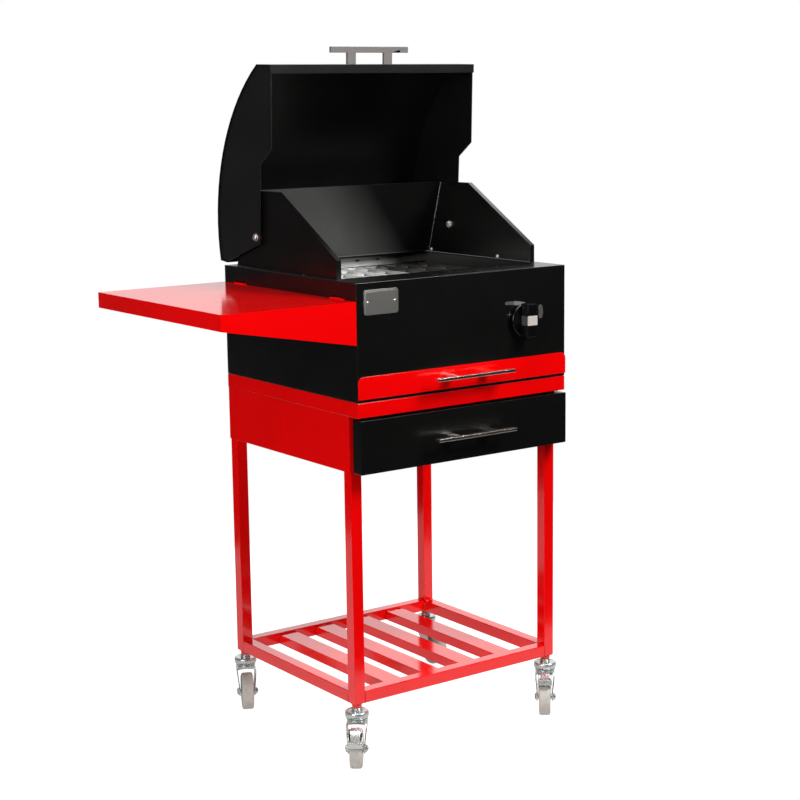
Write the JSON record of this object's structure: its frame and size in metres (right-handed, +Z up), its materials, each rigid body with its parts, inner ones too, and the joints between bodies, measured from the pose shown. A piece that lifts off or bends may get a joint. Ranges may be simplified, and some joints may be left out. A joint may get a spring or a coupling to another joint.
{
  "type": "gas barbecue grill",
  "caption": "Gas barbecue grill on a wheeled tube frame, with a half-round hinged lid, heat rack, drip tray, drawer, hook-on side shelf and slatted bottom shelf.",
  "frame": {"origin": "middle of the bounding box's footprint, on the floor under the wheels", "axes": "+Z up, -Y out of the front (knob, drip tray and drawer side), +X to the right seen from the front; the side shelf is on -X"},
  "size_m": [0.7952, 0.5376, 1.3549],
  "materials": {
    "red_paint": "glossy bright red powder coat",
    "black_paint": "semi-gloss black powder coat",
    "brushed_steel": "brushed along the bar",
    "stainless": "rolled stainless sheet, slightly dull",
    "zinc_plate": "bright zinc plate",
    "wheel_grey": "smooth light grey rubber",
    "brass": "machined brass",
    "black_plastic": "satin black moulding",
    "ceramic": "glazed white ceramic with a wire tip"
  },
  "bodies": {
    "frame": {"leg_front_left": "red_paint", "leg_front_right": "red_paint", "leg_back_left": "red_paint", "leg_back_right": "red_paint", "rail_front": "red_paint", "rail_back": "red_paint", "rail_left": "red_paint", "rail_right": "red_paint", "slat_1": "red_paint", "slat_2": "red_paint", "slat_3": "red_paint", "slat_4": "red_paint", "platform": "red_paint", "cabinet_side_left": "red_paint", "cabinet_side_right": "red_paint", "cabinet_back": "red_paint", "drawer_slide_fixed_left": "zinc_plate", "drawer_slide_fixed_right": "zinc_plate", "grill_body": "black_paint", "firebox_liner": "stainless", "wing_left": "black_paint", "wing_right": "black_paint", "back_panel": "black_paint", "burner": "stainless", "gas_valve": "brass", "gas_inlet_pipe": "brass", "igniter_electrode": "ceramic", "lid_pivot_left": "zinc_plate", "lid_pivot_right": "zinc_plate", "caster_stem_front_left": "zinc_plate", "caster_stem_front_right": "zinc_plate", "caster_stem_back_left": "zinc_plate", "caster_stem_back_right": "zinc_plate"},
    "lid": {"lid_shell": "black_paint", "lid_side_left": "black_paint", "lid_side_right": "black_paint", "lid_handle": "brushed_steel"},
    "drawer": {"drawer_box": "black_paint", "drawer_front": "black_paint", "drawer_handle": "brushed_steel", "drawer_slide_moving_left": "zinc_plate", "drawer_slide_moving_right": "zinc_plate"},
    "drip_tray": {"drip_tray": "stainless", "tray_front": "red_paint", "tray_handle": "brushed_steel"},
    "valve_stem": {"valve_stem": "brass"},
    "knob": {"knob": "black_plastic", "knob_band": "brushed_steel"},
    "side_shelf": {"side_shelf": "red_paint"},
    "heat_rack": {"heat_rack": "stainless"},
    "caster_fork_front_left": {"caster_fork_front_left": "zinc_plate"},
    "caster_wheel_front_left": {"caster_wheel_front_left": "wheel_grey"},
    "brake_pedal_front_left": {"brake_pedal_front_left": "zinc_plate"},
    "caster_fork_front_right": {"caster_fork_front_right": "zinc_plate"},
    "caster_wheel_front_right": {"caster_wheel_front_right": "wheel_grey"},
    "brake_pedal_front_right": {"brake_pedal_front_right": "zinc_plate"},
    "caster_fork_back_left": {"caster_fork_back_left": "zinc_plate"},
    "caster_wheel_back_left": {"caster_wheel_back_left": "wheel_grey"},
    "caster_fork_back_right": {"caster_fork_back_right": "zinc_plate"},
    "caster_wheel_back_right": {"caster_wheel_back_right": "wheel_grey"}
  },
  "joints": [
    {"name": "lid_hinge", "type": "hinge", "parent": "frame", "child": "lid", "pos_m": [0.1347, 0.12348, 0.988], "axis": [1, 0, 0], "range_deg": [0, 88]},
    {"name": "drawer_slide", "type": "slide", "parent": "frame", "child": "drawer", "axis": [0, -1, 0], "range_m": [0, 0.33]},
    {"name": "drip_tray_slide", "type": "slide", "parent": "frame", "child": "drip_tray", "axis": [0, -1, 0], "range_m": [0, 0.38]},
    {"name": "knob_push", "type": "slide", "parent": "frame", "child": "valve_stem", "axis": [0, 1, 0], "range_m": [0, 0.003], "stiffness_N_per_m": 600, "springref_m": -0.002},
    {"name": "knob_turn", "type": "hinge", "parent": "valve_stem", "child": "knob", "pos_m": [0.2767, -0.23952, 0.827], "axis": [0, -1, 0], "range_deg": [0, 180]},
    {"name": "side_shelf_lift", "type": "hinge", "parent": "frame", "child": "side_shelf", "pos_m": [-0.1156, 0.00547, 0.8925], "axis": [0, 1, 0], "range_deg": [0, 45]},
    {"name": "heat_rack_lift", "type": "slide", "parent": "frame", "child": "heat_rack", "axis": [0, 0, 1], "range_m": [0, 0.02]},
    {"name": "caster_swivel_front_left", "type": "hinge", "parent": "frame", "child": "caster_fork_front_left", "pos_m": [-0.1013, -0.18652, 0.098], "axis": [0, 0, 1], "continuous": true},
    {"name": "wheel_spin_front_left", "type": "hinge", "parent": "caster_fork_front_left", "child": "caster_wheel_front_left", "pos_m": [-0.11977, -0.21016, 0.038], "axis": [0.788, -0.6157, 0], "continuous": true},
    {"name": "brake_release_front_left", "type": "hinge", "parent": "caster_fork_front_left", "child": "brake_pedal_front_left", "pos_m": [-0.11977, -0.21016, 0.038], "axis": [-0.788, 0.6157, 0], "range_deg": [0, 26]},
    {"name": "caster_swivel_front_right", "type": "hinge", "parent": "frame", "child": "caster_fork_front_right", "pos_m": [0.3707, -0.18652, 0.098], "axis": [0, 0, 1], "continuous": true},
    {"name": "wheel_spin_front_right", "type": "hinge", "parent": "caster_fork_front_right", "child": "caster_wheel_front_right", "pos_m": [0.35102, -0.20917, 0.038], "axis": [0.7547, -0.6561, 0], "continuous": true},
    {"name": "brake_press_front_right", "type": "hinge", "parent": "caster_fork_front_right", "child": "brake_pedal_front_right", "pos_m": [0.35102, -0.20917, 0.038], "axis": [0.7547, -0.6561, 0], "range_deg": [0, 26]},
    {"name": "caster_swivel_back_left", "type": "hinge", "parent": "frame", "child": "caster_fork_back_left", "pos_m": [-0.1013, 0.22548, 0.098], "axis": [0, 0, 1], "continuous": true},
    {"name": "wheel_spin_back_left", "type": "hinge", "parent": "caster_fork_back_left", "child": "caster_wheel_back_left", "pos_m": [-0.11492, 0.19875, 0.038], "axis": [0.891, -0.454, 0], "continuous": true},
    {"name": "caster_swivel_back_right", "type": "hinge", "parent": "frame", "child": "caster_fork_back_right", "pos_m": [0.3707, 0.22548, 0.098], "axis": [0, 0, 1], "continuous": true},
    {"name": "wheel_spin_back_right", "type": "hinge", "parent": "caster_fork_back_right", "child": "caster_wheel_back_right", "pos_m": [0.36965, 0.19549, 0.038], "axis": [0.9994, -0.0349, 0], "continuous": true}
  ]
}
